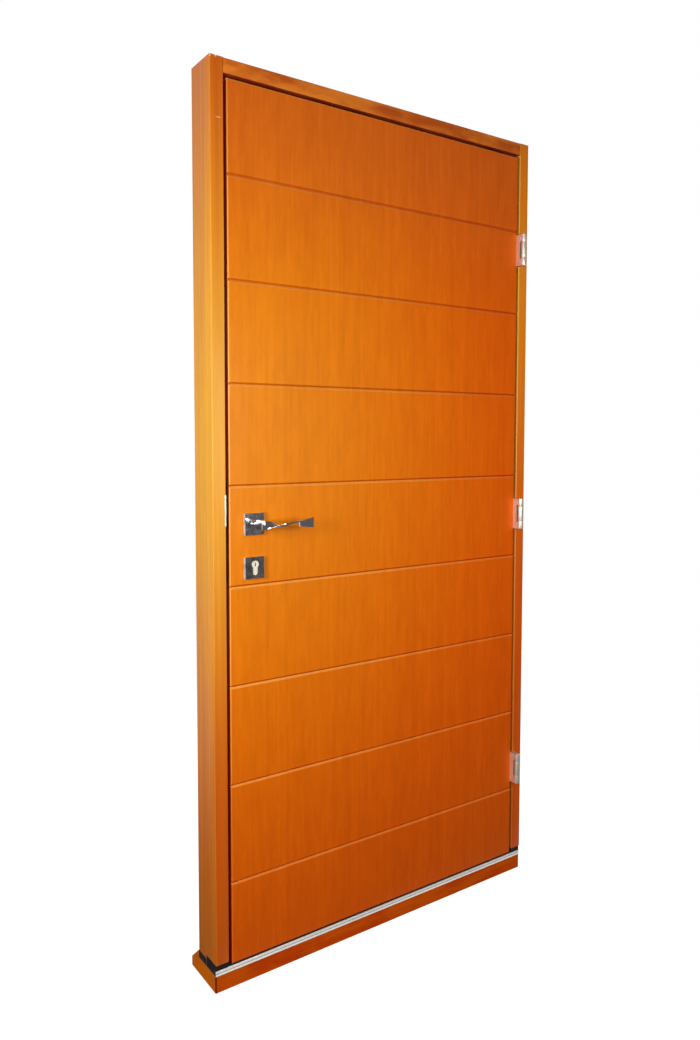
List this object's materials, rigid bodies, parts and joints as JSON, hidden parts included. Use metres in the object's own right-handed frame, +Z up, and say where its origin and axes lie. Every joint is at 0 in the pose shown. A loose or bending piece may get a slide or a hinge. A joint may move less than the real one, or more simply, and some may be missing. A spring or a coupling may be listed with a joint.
{
  "type": "entrance door",
  "caption": "Timber entrance door in its frame: grooved leaf on projecting butt hinges, twisted lever on square roses, profile cylinder and aluminium threshold.",
  "frame": {"origin": "on the underside of the sill, half way across the frame's width and depth", "axes": "+Z up the frame, +X towards the hinge side, -Y out of the front face, the side with the hinge barrels"},
  "size_m": [0.99, 0.1885, 2.09],
  "materials": {
    "frame_timber": "amber-stained softwood under satin lacquer",
    "sill_timber": "red-brown stained timber under satin lacquer",
    "leaf_timber": "orange-stained timber with fine upright grain under satin lacquer",
    "threshold_aluminium": "mill-finish extrusion",
    "black_plastic": "matt black moulding",
    "black_rubber": "matt black rubber",
    "hinge_steel": "bright plated steel",
    "lock_steel": "plated steel",
    "polished_chrome": "polished chrome",
    "cylinder_brass": "nickel-plated brass"
  },
  "bodies": {
    "frame": {"left_jamb": "frame_timber", "right_jamb": "frame_timber", "head": "frame_timber", "sill": "sill_timber", "threshold_strip": "threshold_aluminium", "thermal_break": "black_plastic", "left_jamb_pad": "black_rubber", "right_jamb_pad": "black_rubber", "left_weather_seal": "black_rubber", "right_weather_seal": "black_rubber", "head_weather_seal": "black_rubber", "strike_plate": "lock_steel", "upper_hinge_frame_flap": "hinge_steel", "middle_hinge_frame_flap": "hinge_steel", "lower_hinge_frame_flap": "hinge_steel", "upper_hinge_pin": "hinge_steel", "middle_hinge_pin": "hinge_steel", "lower_hinge_pin": "hinge_steel"},
    "leaf": {"lock_stile": "leaf_timber", "hinge_stile": "leaf_timber", "top_rail": "leaf_timber", "bottom_rail": "leaf_timber", "front_facing": "leaf_timber", "rear_facing": "leaf_timber", "lock_forend": "lock_steel", "latch_bolt": "lock_steel", "dead_bolt": "lock_steel", "front_rose": "polished_chrome", "rear_rose": "polished_chrome", "front_escutcheon": "polished_chrome", "rear_escutcheon": "polished_chrome", "lock_cylinder": "cylinder_brass", "upper_hinge_leaf_flap": "hinge_steel", "middle_hinge_leaf_flap": "hinge_steel", "lower_hinge_leaf_flap": "hinge_steel"},
    "lever": {"front_lever": "polished_chrome", "rear_lever": "polished_chrome", "spindle": "lock_steel"}
  },
  "joints": [
    {"name": "leaf_swing", "type": "hinge", "parent": "frame", "child": "leaf", "pos_m": [0.458, -0.067, 1.0535], "axis": [0, 0, 1], "range_deg": [0, 170]},
    {"name": "lever_turn", "type": "hinge", "parent": "leaf", "child": "lever", "pos_m": [-0.394, -0.024, 1.073], "axis": [0, 1, 0], "range_deg": [0, 45], "stiffness_Nm_per_rad": 1.5, "springref_deg": -22.92}
  ]
}
